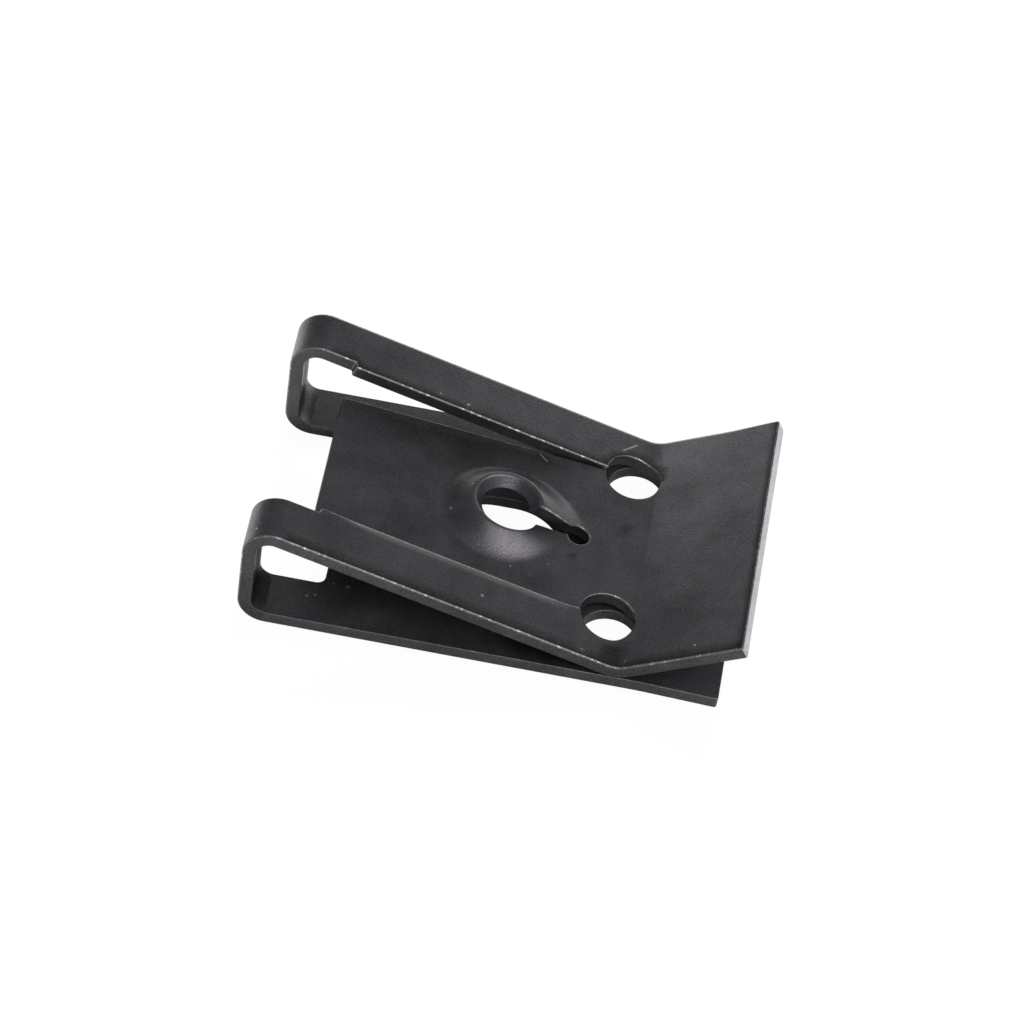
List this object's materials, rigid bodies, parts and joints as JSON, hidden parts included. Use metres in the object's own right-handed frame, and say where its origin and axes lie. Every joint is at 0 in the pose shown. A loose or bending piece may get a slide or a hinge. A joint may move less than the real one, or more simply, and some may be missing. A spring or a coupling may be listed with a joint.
{
  "type": "u clip speed nut",
  "caption": "Folded spring-steel U-clip nut with a flat leg, sloping side strips, a flared lip and a pressed thread on a central tongue.",
  "frame": {"origin": "screw axis, at the underside of the flat leg", "axes": "+X from the fold to the open lip, +Y across the width, +Z out of the pressed thread's dome"},
  "size_m": [0.0239, 0.015, 0.0061],
  "materials": {
    "black_spring_steel": "black phosphate and oil, soft satin sheen"
  },
  "bodies": {
    "root": {"speed_nut_clip": "black_spring_steel"}
  },
  "joints": []
}
